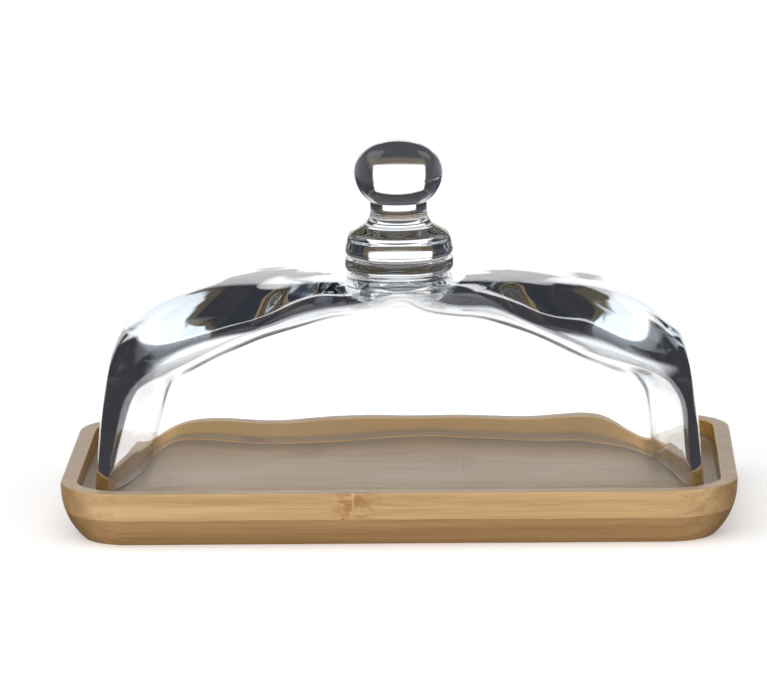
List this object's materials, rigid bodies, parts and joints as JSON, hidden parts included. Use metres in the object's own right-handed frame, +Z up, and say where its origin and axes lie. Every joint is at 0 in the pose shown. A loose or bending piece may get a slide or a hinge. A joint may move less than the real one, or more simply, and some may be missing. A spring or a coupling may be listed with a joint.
{
  "type": "butter dish",
  "caption": "Rectangular laminated bamboo tray with a shallow recess, and a clear cushion-shaped glass cover with a ball knob that stands in it and lifts off.",
  "frame": {"origin": "bottom centre of the tray, on the surface that the dish stands on", "axes": "+Z up; +X along the tray's length, to the right when the dish is seen from the front; +Y towards the back"},
  "size_m": [0.21, 0.1214, 0.1177],
  "materials": {
    "bamboo": "satin lacquer",
    "clear_glass": "clear, fire-polished, slightly wavy"
  },
  "bodies": {
    "tray": {"tray_upper_strip_1": "bamboo", "tray_upper_strip_2": "bamboo", "tray_upper_strip_3": "bamboo", "tray_upper_strip_4": "bamboo", "tray_upper_strip_5": "bamboo", "tray_upper_strip_6": "bamboo", "tray_lower_strip_1": "bamboo", "tray_lower_strip_2": "bamboo", "tray_lower_strip_3": "bamboo", "tray_lower_strip_4": "bamboo", "tray_lower_strip_5": "bamboo"},
    "cover": {"glass_dome": "clear_glass", "glass_joint_ring": "clear_glass", "glass_knob": "clear_glass"}
  },
  "joints": [
    {"name": "cover_lift", "type": "slide", "parent": "tray", "child": "cover", "axis": [0, 0, 1], "range_m": [0, 0.12]}
  ]
}
